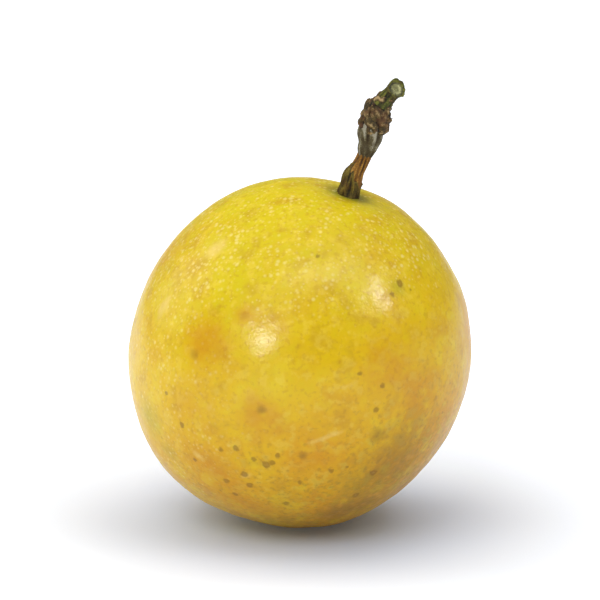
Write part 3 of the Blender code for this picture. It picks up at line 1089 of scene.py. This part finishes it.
# ---------------------------------------------------------------- the stalk's pieces
@dataclass
class StalkPath:
    """The stalk's middle line and its radius, in the fruit's own frame."""

    form: FruitForm
    middle: np.ndarray
    collar_lift: float = 0.5 * MM
    stations: tuple = (  # along, sideways +X, sideways +Y, radius, all in millimetres
        (0.0, -0.25, 0.00, 2.02),
        (0.9, -0.22, 0.00, 1.98),
        (2.2, -0.35, 0.05, 2.00),
        (3.8, -0.25, 0.12, 1.84),
        (5.4, 0.12, 0.20, 1.48),
        (7.4, 0.55, 0.26, 1.34),
        (9.2, 0.60, 0.30, 1.78),
        (11.4, 0.56, 0.30, 2.30),
        (13.6, 0.40, 0.22, 2.56),
        (15.8, 0.36, 0.10, 2.48),
        (17.8, 0.48, 0.00, 2.10),
        (19.4, 1.00, -0.08, 1.74),
        (20.9, 1.72, -0.14, 1.62),
        (22.4, 2.62, -0.16, 1.76),
        (23.8, 3.50, -0.14, 1.90),
        (25.6, 4.50, -0.08, 1.90),
    )
    rows_between: int = 20  # rows from one station to the next

    def smooth(self) -> np.ndarray:
        """Carries a Catmull-Rom curve through the stations.

        Between b and c, with a before and d after them, half of 2b + (c - a)t +
        (2a - 5b + 4c - d)t^2 + (3b - a - 3c + d)t^3, for t from 0 to 1.

        Returns:
            Along, the two sideways distances and radius, in metres, one row to a place.
        """
        rows = np.array(self.stations) * MM
        padded = np.vstack((2 * rows[0] - rows[1], rows, 2 * rows[-1] - rows[-2]))
        t = np.linspace(0.0, 1.0, self.rows_between, endpoint=False)[None, :, None]
        a, b, c, d = (padded[k : len(padded) - 3 + k, None, :] for k in range(4))
        between = 0.5 * (
            2 * b
            + (c - a) * t
            + (2 * a - 5 * b + 4 * c - d) * t**2
            + (3 * b - a - 3 * c + d) * t**3
        )
        return np.vstack((between.reshape(-1, 4), rows[-1:]))

    def at(self, along: np.ndarray) -> tuple[np.ndarray, np.ndarray, np.ndarray, np.ndarray]:
        """The line at distances above the collar's underside.

        The tangent runs from a step behind to a step ahead. The first vector across is +X
        less its share along the tangent, and the second is square to both.

        Args:
            along: Distances along the fruit's axis, in metres.

        Returns:
            Middles, the two unit vectors across the line, and radii.
        """
        rows = self.smooth()
        line = [np.interp(along, rows[:, 0], rows[:, k]) for k in (1, 2, 3)]
        middles = np.stack((line[0], line[1], along), axis=-1)
        step = 0.2 * MM
        ahead, behind = (
            np.stack(
                [np.interp(along + way, rows[:, 0], rows[:, k]) for k in (1, 2)] + [along + way],
                axis=-1,
            )
            for way in (step, -step)
        )
        tangent = ahead - behind
        tangent /= np.linalg.norm(tangent, axis=-1, keepdims=True)
        side = np.array((1.0, 0.0, 0.0)) - tangent * tangent[..., :1]
        side /= np.linalg.norm(side, axis=-1, keepdims=True)
        return middles, side, np.cross(tangent, side), line[2]

    def point_at(self, along: float) -> tuple[np.ndarray, np.ndarray, np.ndarray, float]:
        """The line at one distance: its middle, the two vectors across it and its radius."""
        middle, side, out, radius = (value[0] for value in self.at(np.array([along])))
        return middle, side, out, float(radius)

    def tube(self, along: np.ndarray, radii: np.ndarray, around: np.ndarray) -> np.ndarray:
        """Carries a profile along the line.

        P(s, a) = middle(s) + (side(s) cos a + out(s) sin a) r(s, a).

        Args:
            along: Distances, one for each row.
            radii: Radii, as rows by columns.
            around: Angles, one for each column.

        Returns:
            Points in the fruit's frame.
        """
        middles, side, out, _ = self.at(along)
        turned = (
            side[:, None] * np.cos(around)[None, :, None]
            + out[:, None] * np.sin(around)[None, :, None]
        )
        return middles[:, None] + turned * radii[..., None]

    def to_world(self, points: np.ndarray) -> np.ndarray:
        """Takes points above the collar's underside into the world.

        Args:
            points: Points along the fruit's axis, from the collar's underside at zero.

        Returns:
            The points, raised on to the skin and turned as the fruit is.
        """
        raised = points + UP * (float(self.form.skin(UP)) + self.collar_lift)
        return self.middle + raised @ self.form.turn().T


@dataclass(frozen=True)
class Flap:
    """One dry flap of a sepal: where it springs from, its size and its lean."""

    along: float  # millimetres above the collar's underside
    around: float  # degrees from +X
    length: float  # millimetres
    lean: float  # degrees outwards at its root
    width: float  # millimetres


@dataclass
class Stalk:
    """The dry stalk: collar, neck, withered flower cup with its tatters, and cut pedicel.

    A reach is a tube's lowest and highest place along the stalk and its number of rows.
    """

    path: StalkPath
    columns: int = 120

    fibre_ring: float = 1.6 * MM  # radius of the cylinder that the fibres are drawn on
    fibre_twist: float = 0.6  # radians in each centimetre
    fibre_waves: int = 40

    collar_reach: tuple = (-0.9 * MM, 6.4 * MM, 130)
    collar_bark: float = 0.08 * MM  # thickness, which doubles at the foot
    collar_edge: float = 5.1 * MM
    collar_tear: float = 0.60 * MM  # how far its edge wanders up and down
    collar_drop: float = 0.55 * MM  # how far the bark falls inwards above its edge
    split_angle: float = math.radians(-34.0)  # front right, where the neck shows
    split_width: float = math.radians(34.0)
    split_depth: float = 3.8 * MM

    neck_reach: tuple = (1.2 * MM, 10.8 * MM, 160)

    cup_reach: tuple = (7.5 * MM, 14.9 * MM, 150)
    cup_profile: tuple = (  # height, radius, in millimetres
        (7.5, 1.12),
        (8.2, 1.46),
        (9.4, 1.86),
        (11.2, 2.30),
        (12.6, 2.54),
        (13.4, 2.58),
        (14.2, 2.42),
        (14.9, 2.0),
    )
    pleats: int = 7

    remains_reach: tuple = (12.9 * MM, 20.7 * MM, 170)
    remains_profile: tuple = (  # height, radius, in millimetres
        (12.9, 2.2),
        (13.7, 2.58),
        (15.0, 2.64),
        (16.2, 2.52),
        (17.4, 2.26),
        (18.5, 1.96),
        (19.4, 1.76),
        (20.7, 1.48),
    )
    remains_lump: float = 0.17 * MM
    remains_crumb: float = 0.07 * MM
    knob_count: int = 20
    knob_span: tuple = (14.0 * MM, 17.6 * MM)
    knob_radius: tuple = (0.85 * MM, 1.25 * MM)
    knob_shape: tuple = (0.92, 0.9, 1.35)  # outwards, across and along, in radii
    knob_sink: float = 0.42 * MM

    large_flaps: tuple = (
        Flap(15.2, -24, 2.2, 28, 1.5),
        Flap(16.8, 6, 1.6, 14, 1.4),
        Flap(13.4, 70, 2.3, 30, 1.5),
        Flap(16.2, 132, 1.6, 16, 1.5),
        Flap(14.6, 186, 1.7, 18, 1.5),
        Flap(16.4, 244, 1.8, 16, 1.4),
    )
    small_flap_count: int = 12
    flap_sink: float = 0.25 * MM
    flap_half_thickness: float = 0.11 * MM
    thread_count: int = 7
    thread_turn: float = 2.4  # radians from one thread to the next
    thread_radius: float = 0.13 * MM

    pedicel_reach: tuple = (18.4 * MM, 25.5 * MM, 150)
    cut_along: float = 22.2 * MM
    cut_facing: tuple = (0.42, -0.60, 0.95)  # the way that the cut looks, in the fruit's frame
    cut_share: float = 0.84  # the cut face's radius inside the bark, in the stalk's radii
    cut_proud: float = 0.07 * MM  # how far the cut face stands off the cut's plane
    cut_plate: float = 0.3 * MM  # how far its back lies behind that plane
    wood_ring: float = 0.07 * MM
    pith_hollow: float = 0.04 * MM
    saw_mark: float = 0.02 * MM
    lip_height: float = 0.42 * MM  # torn bark left standing behind the cut
    lip_angle: float = math.radians(115.0)
    lip_width: float = math.radians(42.0)

    def around(self) -> np.ndarray:
        """Angles of the columns."""
        return np.linspace(0.0, 2 * math.pi, self.columns, endpoint=False)

    def turned_from(self, angle: float) -> np.ndarray:
        """Each column's angle from a given one, between minus and plus half a turn."""
        return np.angle(np.exp(1j * (self.around() - angle)))

    def add_tube(
        self, draft: Draft, along: np.ndarray, radii: np.ndarray, relief: np.ndarray
    ) -> None:
        """Carries a closed tube along the stalk and adds it to a draft.

        Args:
            draft: Gets the tube.
            along: Distances, one for each row.
            radii: Radii, as rows by columns. The end rows are drawn in.
            relief: How worn the surface is, as rows by columns.
        """
        self.close(radii)
        draft.add(
            self.path.to_world(self.path.tube(along, radii, self.around())), relief=relief
        )

    def fibres(self, along: np.ndarray, seed: int, stretch: float, width: float) -> np.ndarray:
        """Lengthwise ridges: the seeded waves on a cylinder squeezed along its length.

        Args:
            along: Distances, one for each row.
            seed: Fixes the draw.
            stretch: How many times longer than wide the ridges are.
            width: A ridge's width, in metres.

        Returns:
            Ridge heights about 1, as rows by columns.
        """
        around = self.around()
        twist = self.fibre_twist * along[:, None] / (10 * MM)
        places = np.stack(
            (
                self.fibre_ring * np.cos(around[None, :] + twist),
                self.fibre_ring * np.sin(around[None, :] + twist),
                np.broadcast_to(along[:, None] / stretch, (len(along), len(around))),
            ),
            axis=-1,
        )
        return waves(places, seed, self.fibre_waves, width, 2.2 * width)

    def collar(self, draft: Draft) -> None:
        """Old flared foot of the stalk, cracked lengthwise, with a torn upper edge.

        Its radius is the path's times ridges, cracks and, at the foot, five lobes, plus the
        bark's thickness. Its edge stands at a seeded height for each angle, low in a split
        where the neck shows, and above it the bark drops inside the neck.

        Args:
            draft: Gets the collar.
        """
        along = np.linspace(*self.collar_reach)
        base = self.path.at(np.maximum(along, 0.0))[3]
        ridges = self.fibres(along, Seed.COLLAR_RIDGES, 3.5, 0.55 * MM)
        cracks = self.fibres(along, Seed.COLLAR_CRACKS, 9.0, 0.30 * MM)
        tear = self.fibres(np.zeros(1), Seed.COLLAR_EDGE, 1.0, 0.75 * MM)
        edge = self.collar_edge + self.collar_tear * tear
        edge = edge - self.split_depth * self.split()
        foot = smooth_step(along, 1.6 * MM, -0.2 * MM)[:, None]
        lobes = np.cos(5 * self.around() + 0.7)[None, :]
        radii = base[:, None] * (1 + 0.05 * ridges + 0.025 * cracks + 0.04 * foot * lobes)
        dropped = smooth_step(along[:, None] - edge, -0.25 * MM, 0.35 * MM)
        radii = radii + self.collar_bark * (1 + foot) - self.collar_drop * dropped
        relief = 0.33 + 0.15 * ridges + 0.08 * cracks + 0.25 * bell(dropped - 0.3, 0.2)
        self.add_tube(draft, along, radii, relief)

    def split(self) -> np.ndarray:
        """How far each angle lies in the collar's split, from 0 to 1."""
        return bell(self.turned_from(self.split_angle), self.split_width)[None, :]

    def neck(self, draft: Draft) -> None:
        """Slender neck: the path's radius with long fibres and a few knots.

        It is drawn in where the collar wraps it, but for the collar's split, and again inside
        the flower cup.

        Args:
            draft: Gets the neck.
        """
        along = np.linspace(*self.neck_reach)
        base = self.path.at(along)[3]
        ridges = self.fibres(along, Seed.NECK_FIBRES, 7.0, 0.5 * MM)
        knots = self.fibres(along, Seed.NECK_KNOTS, 1.5, 1.4 * MM)
        bare = np.maximum(smooth_step(along, 3.6 * MM, 5.4 * MM)[:, None], self.split())
        slim = 0.84 + 0.14 * bare - 0.28 * smooth_step(along, 7.6 * MM, 8.8 * MM)[:, None]
        radii = base[:, None] * (slim + 0.05 * ridges + 0.035 * knots)
        self.add_tube(draft, along, radii, 0.38 + 0.13 * ridges + 0.06 * knots)

    def cup(self, draft: Draft) -> None:
        """Lower half of the knob: withered petals pressed round the neck.

        Its profile is carried round, less its pleats: the absolute sine of half their count
        times the angle. They drift a little round the stalk, deepen towards the rim, and carry
        fine fibres.

        Args:
            draft: Gets the cup.
        """
        along = np.linspace(*self.cup_reach)
        heights, widths = np.array(self.cup_profile).T * MM
        radius = np.interp(along, heights, widths)
        around = self.around()[None, :]
        drift = 0.35 * np.sin(along / (2.6 * MM))[:, None]
        pleat = np.abs(np.sin(self.pleats / 2 * (around + drift) + 1.4)) ** 0.45
        fibres = self.fibres(along, Seed.CUP_FIBRES, 6.0, 0.5 * MM)
        depth = smooth_step(along, 8.7 * MM, 10.6 * MM)[:, None]
        lumps = self.fibres(along, Seed.CUP_LUMPS, 1.4, 1.7 * MM)
        radii = radius[:, None] * (
            1.0 + 0.13 * depth * (pleat - 0.85) + 0.03 * fibres + 0.04 * lumps * depth
        )
        self.add_tube(draft, along, radii, 0.22 + 0.30 * pleat * depth + 0.12 * fibres)

    def receptacle(self, draft: Draft) -> None:
        """Upper half of the knob: rough, pitted remains of the flower.

        Its profile is carried round, plus seeded lumps and crumbs. It is worn paler upwards.

        Args:
            draft: Gets the remains.
        """
        along = np.linspace(*self.remains_reach)
        heights, widths = np.array(self.remains_profile).T * MM
        radius = np.interp(along, heights, widths)
        lumps = self.fibres(along, Seed.REMAINS_LUMPS, 1.1, 1.1 * MM)
        crumbs = self.fibres(along, Seed.REMAINS_CRUMBS, 1.0, 0.5 * MM)
        radii = radius[:, None] + self.remains_lump * lumps + self.remains_crumb * crumbs
        worn = 0.14 * smooth_step(along, 14.0 * MM, 19.0 * MM)[:, None]
        self.add_tube(draft, along, radii, 0.16 + worn + 0.18 * lumps + 0.12 * crumbs)

    def cut_plane(self) -> tuple[np.ndarray, np.ndarray]:
        """The slanting cut at the stalk's end: a point on it and its outward normal."""
        facing = np.array(self.cut_facing)
        return self.path.point_at(self.cut_along)[0], facing / np.linalg.norm(facing)

    def pedicel(self, draft: Draft) -> None:
        """Green end of the stalk: soft grooves, fine fibres, and a swollen, slanting end.

        Whatever of the tube would reach past the cut slides back along it to the cut's plane,
        but for a torn lip of bark behind the cut, a bell round the stalk, that stays standing.
        The last rows are drawn in, and make the lip's inner face and the cut's floor.

        Args:
            draft: Gets the green end.
        """
        along = np.linspace(*self.pedicel_reach)
        base = self.path.at(along)[3]
        grooves = np.cos(5 * self.around() + 0.3)[None, :]
        fibres = self.fibres(along, Seed.PEDICEL_FIBRES, 8.0, 0.45 * MM)
        knots = self.fibres(along, Seed.PEDICEL_KNOTS, 1.4, 1.5 * MM)
        radii = base[:, None] * (0.98 + 0.035 * grooves + 0.025 * fibres + 0.035 * knots)
        self.close(radii)
        radii[-2] *= self.cut_share
        points = self.path.tube(along, radii, self.around())
        point, facing = self.cut_plane()
        _, side, out, _ = self.path.point_at(self.cut_along)
        tangent = np.cross(side, out)
        turned = self.turned_from(self.lip_angle)
        lip = self.lip_height * bell(turned, self.lip_width) * (1 + 0.25 * np.sin(9 * turned))
        height = (points - point) @ facing
        height[:-2] -= lip
        past = np.maximum(height, 0.0) / (tangent @ facing)
        points = points - past[..., None] * tangent
        worn = 0.30 * smooth_step(past, 0.0, 0.2 * MM)
        relief = 0.38 + 0.16 * fibres + 0.05 * grooves + worn
        draft.add(self.path.to_world(points), relief=relief)

    def cut_end(self, draft: Draft) -> None:
        """Cut face: a thin oval plate with a raised woody ring, a sunk pith and saw marks.

        Each point is the cut's middle plus a share of the stalk's radius, slid along the stalk
        on to the cut's plane, so that the plate follows the slanting tube's oval. It darkens
        towards its rim, and towards the stalk's -X side, where it has weathered.

        Args:
            draft: Gets the cut face.
        """
        shares = np.linspace(0.0, 1.0, 30)
        around = self.around()
        point, facing = self.cut_plane()
        _, side, out, radius = self.path.point_at(self.cut_along)
        tangent = np.cross(side, out)
        way = side * np.cos(around)[:, None] + out * np.sin(around)[:, None]
        way = way - (way @ facing / (tangent @ facing))[:, None] * tangent
        wobble = 1 + 0.03 * np.cos(3 * around + 1.0) + 0.02 * np.cos(7 * around)
        both_ways = np.concatenate((shares, shares[::-1]))
        spread = both_ways * radius * self.cut_share
        ring = self.wood_ring * bell(shares - 0.62, 0.18) - self.pith_hollow * bell(shares, 0.20)
        marks = self.saw_mark * np.sin(shares * 36)
        back = np.full(len(shares), -self.cut_plate)
        lift = np.concatenate((self.cut_proud + ring + marks, back))
        across = way * wobble[:, None]
        points = point + spread[:, None, None] * across[None] + lift[:, None, None] * facing
        grain = np.concatenate((ring, np.zeros(len(shares)))) / (0.10 * MM)
        rim = smooth_step(both_ways, 0.60, 0.85)
        shade = 0.30 * rim[:, None] * (0.6 + 0.4 * np.cos(around))
        weathered = 0.30 * smooth_step(across @ side * spread[:, None] / radius, 0.1, -0.7)
        relief = 0.40 + 0.2 * grain[:, None] - shade - weathered
        draft.add(self.path.to_world(points), relief=relief)

    def knobs(self, draft: Draft) -> None:
        """Lumps of the withered cup, set round it by the golden angle as the solid's are.

        Each is a long bead sunk in the cup, roughened by seeded waves.

        Args:
            draft: Gets the knobs.
        """
        draw = np.random.default_rng(Seed.KNOBS)
        deep, broad, tall = self.knob_shape
        ball = FruitForm.sphere(20, 14)
        for index in range(self.knob_count):
            share = (index + draw.uniform(-0.3, 0.3)) / (self.knob_count - 1)
            along = self.knob_span[0] + share * (self.knob_span[1] - self.knob_span[0])
            angle = index * math.radians(GOLDEN_DEGREES) + draw.uniform(-0.25, 0.25)
            width = draw.uniform(*self.knob_radius)
            tilt = draw.uniform(-0.5, 0.5)
            middle, _, _, radius = self.path.point_at(along)
            way, across = round_axis(angle)
            long = UP * math.cos(tilt) + across * math.sin(tilt)
            wide = across * math.cos(tilt) - UP * math.sin(tilt)
            rough = 1 + 0.10 * waves(ball + index, Seed.KNOB_SKIN, 16, 0.6, 1.4)
            bead = (
                way * ball[..., :1] * width * deep
                + wide * ball[..., 1:2] * width * broad
                + long * ball[..., 2:] * width * tall
            ) * rough[..., None]
            place = middle + way * (radius - self.knob_sink)
            relief = 0.18 + 0.22 * ball[..., 0] + 1.2 * (rough - 1)
            draft.add(self.path.to_world(place + bead), relief=relief)

    def tatters(self, draft: Draft) -> None:
        """Dry flaps of the sepals: thin tongues that stand out from the cup and curl.

        Each is a flat oval profile carried along a bent line, narrowing to a ragged tip. The
        large ones stand at set places, and small ones are drawn by the golden angle between.

        Args:
            draft: Gets the flaps.
        """
        draw = np.random.default_rng(Seed.TATTERS)
        flaps = list(self.large_flaps)
        for index in range(self.small_flap_count):
            flaps.append(
                Flap(
                    along=draw.uniform(11.6, 17.6),
                    around=index * GOLDEN_DEGREES + 40,
                    length=draw.uniform(1.3, 2.3),
                    lean=draw.uniform(-12, 26),
                    width=draw.uniform(0.7, 1.3),
                )
            )
        share = np.linspace(0.0, 1.0, 16)[:, None]
        around = np.linspace(0.0, 2 * math.pi, 16, endpoint=False)[None, :]
        for flap in flaps:
            middle, _, _, radius = self.path.point_at(flap.along * MM)
            way, across = round_axis(math.radians(flap.around))
            curl = math.radians(flap.lean) + draw.uniform(-0.7, 0.5) * share**2
            rise = np.cumsum(np.cos(curl), axis=0) / len(share) * flap.length * MM
            out = np.cumsum(np.sin(curl), axis=0) / len(share) * flap.length * MM
            half = 0.5 * flap.width * MM * (1 - 0.75 * share**1.6) * (
                1 + 0.25 * np.sin(share * draw.uniform(5, 9) + draw.uniform(0, 6))
            )
            thick = self.flap_half_thickness * (1 - 0.5 * share)
            cupped = 0.25 * half * np.cos(around) ** 2
            sideways = half * np.cos(around)
            depth = thick * np.sin(around) - cupped
            points = (
                middle
                + way * (radius - self.flap_sink + out + depth)[..., None]
                + across * sideways[..., None]
                + UP * rise[..., None]
            )
            relief = 0.30 + 0.22 * share + 0.10 * np.cos(around) * np.sin(9 * share)
            draft.add(self.path.to_world(points), relief=relief)

    def filaments(self, draft: Draft) -> None:
        """A few dry flower threads that lie along the cup: thin round tubes on bent lines.

        Each starts at a seeded place and runs up the cup, lifting off it and swinging round
        it by a seeded share of the way run.

        Args:
            draft: Gets the threads.
        """
        draw = np.random.default_rng(Seed.THREADS)
        share = np.linspace(0.0, 1.0, 24)
        around = np.linspace(0.0, 2 * math.pi, 8, endpoint=False)
        for index in range(self.thread_count):
            start = draw.uniform(12.6, 14.6) * MM
            length = draw.uniform(1.6, 3.4) * MM
            root = index * self.thread_turn + draw.uniform(-0.3, 0.3)
            angle = root + draw.uniform(-0.5, 0.5) * share
            along = start + length * share
            middles, _, _, radius = self.path.at(along)
            lift = radius + (0.10 + draw.uniform(0.05, 0.15) * share**2) * MM
            way = np.stack((np.cos(angle), np.sin(angle), 0 * angle), axis=-1)
            across = np.stack((-np.sin(angle), np.cos(angle), 0 * angle), axis=-1)
            thick = self.thread_radius * (1 - 0.6 * share)
            ring = (
                way[:, None] * np.cos(around)[None, :, None]
                + across[:, None] * np.sin(around)[None, :, None]
            )
            points = (middles + way * lift[:, None])[:, None] + ring * thick[:, None, None]
            relief = np.broadcast_to(0.4 + 0.2 * share[:, None], points.shape[:2]).copy()
            draft.add(self.path.to_world(points), relief=relief)

    @staticmethod
    def close(radii: np.ndarray) -> None:
        """Draws a tube's first and last rows in, so that its ends close inside."""
        radii[0] *= 0.2
        radii[-1] *= 0.2

    def build(self) -> None:
        """Builds and dresses every piece of the stalk."""
        for name, makers, finish in (
            ("stalk_collar", (self.collar,), COLLAR_BARK),
            ("stalk_neck", (self.neck,), NECK_BARK),
            ("flower_cup", (self.cup,), CUP_WALL),
            ("flower_remains", (self.receptacle, self.knobs), DRY_SEPAL),
            ("sepal_tatters", (self.tatters, self.filaments), DRY_SEPAL),
            ("stalk_pedicel", (self.pedicel,), GREEN_BARK),
            ("stalk_cut_end", (self.cut_end,), CUT_PITH),
        ):
            draft = Draft()
            for maker in makers:
                maker(draft)
            attach(draft.build(name, finish.build()), "stalk")


# ---------------------------------------------------------------- studio
@dataclass(frozen=True)
class SoftBox:
    """A soft light: where it stands as seen from the fruit, its size and its brightness."""

    name: str
    yaw: float  # degrees from the camera's side towards +X
    pitch: float  # degrees above the level
    distance: float
    width: float
    height: float
    radiance: float
    washes: bool = True  # lights what it falls on
    shines: bool = True  # shows in glossy surfaces

    def build(self, target: Vector) -> None:
        """Adds the light, aimed at the target.

        Args:
            target: The place that it faces, in the world.
        """
        data = bpy.data.lights.new(self.name, "AREA")
        data.shape = "RECTANGLE"
        data.size, data.size_y = self.width, self.height
        data.energy = self.radiance * math.pi * self.width * self.height
        away = Vector(seen_from_front(self.yaw, self.pitch))
        lamp = bpy.data.objects.new(self.name, data)
        lamp.location = target + away * self.distance
        lamp.rotation_euler = away.to_track_quat("Z", "Y").to_euler()
        lamp.visible_camera = False
        lamp.visible_diffuse = self.washes
        lamp.visible_glossy = self.shines
        bpy.context.scene.collection.objects.link(lamp)


@dataclass
class Studio:
    """The pale floor, the soft lights and the camera."""

    view_pitch: float = 14.0
    view_distance: float = 0.9
    lens: float = 280.0
    sky: float = 0.18
    floor_half: float = 3.0
    floor_drop: float = 0.02 * MM  # keeps it just under the resting spot
    lights: tuple = (
        SoftBox("overhead_softbox", 180, 84, 1.1, 1.7, 1.1, 1.95, shines=False),
        SoftBox("left_softbox", -110, 26, 1.0, 0.7, 0.7, 1.6),
        SoftBox("front_fill", -32, 44, 1.1, 0.8, 0.5, 3.1, shines=False),
        SoftBox("right_fill", 55, 46, 1.1, 0.6, 0.5, 2.0, shines=False),
        SoftBox("band_light", 14, 63, 1.0, 0.80, 0.12, 7.8, washes=False),
        SoftBox("front_light", -32, 19, 1.1, 0.23, 0.18, 44.0, washes=False),
        SoftBox("right_light", 65, 35, 1.1, 0.25, 0.26, 30.0, washes=False),
    )

    def build(self, target: Vector) -> None:
        """Adds floor, sky, lights and camera round the object's middle.

        Args:
            target: That middle, in the world, which the lights and the camera face.
        """
        self.floor()
        for light in self.lights:
            light.build(target)
        world = bpy.data.worlds.new("studio")
        world.use_nodes = True
        world.node_tree.nodes["Background"].inputs[0].default_value = linear("#FFFFFF")
        world.node_tree.nodes["Background"].inputs[1].default_value = self.sky
        bpy.context.scene.world = world
        bpy.context.scene.view_settings.view_transform = "Standard"
        data = bpy.data.cameras.new("camera")
        data.lens = self.lens
        data.clip_start, data.clip_end = 0.01, 20.0
        camera = bpy.data.objects.new("camera", data)
        away = Vector(seen_from_front(0.0, self.view_pitch))
        camera.location = target + away * self.view_distance
        camera.rotation_euler = away.to_track_quat("Z", "Y").to_euler()
        bpy.context.scene.collection.objects.link(camera)
        bpy.context.scene.camera = camera

    def floor(self) -> None:
        """A wide level floor just under the resting surface, of smooth white board.

        It glows from some way off outwards round the object's middle, a painted light that keeps
        the shadow close by dark while the floor further off turns white, and close by it is
        painted bluer to cancel the yellow light that the fruit bounces into its shadow.
        """
        made = bpy.data.materials.new("white_studio_board")
        made.use_nodes = True
        tree = made.node_tree
        shader = tree.nodes["Principled BSDF"]
        place = add_node(tree, "ShaderNodeTexCoord").outputs["Object"]
        away = add_node(
            tree, "ShaderNodeVectorMath", {0: place}, operation="LENGTH"
        ).outputs["Value"]
        # Painted light: the floor glows more the further it lies from the object's middle, and is
        # painted bluer close by to cancel the fruit's yellow bounce in its shadow.
        tint, painted_glow = (
            add_node(
                tree,
                "ShaderNodeMapRange",
                {0: away, 1: near, 2: far, 3: low, 4: high},
                interpolation_type="SMOOTHSTEP",
            ).outputs[0]
            for near, far, low, high in ((0.015, 0.05, 0.0, 1.0), (0.035, 0.10, 0.04, 0.42))
        )
        tint = add_node(
            tree,
            "ShaderNodeValToRGB",
            {0: tint},
            stops=((0.0, linear("#D6E3FA")), (1.0, linear("#F1F5FC"))),
        ).outputs[0]
        tree.links.new(tint, shader.inputs["Base Color"])
        tree.links.new(painted_glow, shader.inputs["Emission Strength"])
        shader.inputs["Emission Color"].default_value = linear("#F8FBFF")
        shader.inputs["Roughness"].default_value = 0.6
        shader.inputs["Specular IOR Level"].default_value = 0.25
        mesh = bpy.data.meshes.new("floor")
        half = self.floor_half
        corners = [(-half, -half), (half, -half), (half, half), (-half, half)]
        mesh.from_pydata([(x, y, -self.floor_drop) for x, y in corners], [], [(0, 1, 2, 3)])
        mesh.materials.append(made)
        floor = bpy.data.objects.new("floor", mesh)
        bpy.context.scene.collection.objects.link(floor)


def main() -> None:
    """Builds the studio, the rind and the stalk, in order."""
    logging.basicConfig(level=logging.INFO, format="%(name)s: %(message)s")
    low, high = CAD_BOX
    Studio().build((low + high) / 2)
    form = FruitForm()
    middle = form.middle()
    Rind(form, middle).build(WaxyRind())
    Stalk(StalkPath(form, middle)).build()


if __name__ == "__main__":
    main()
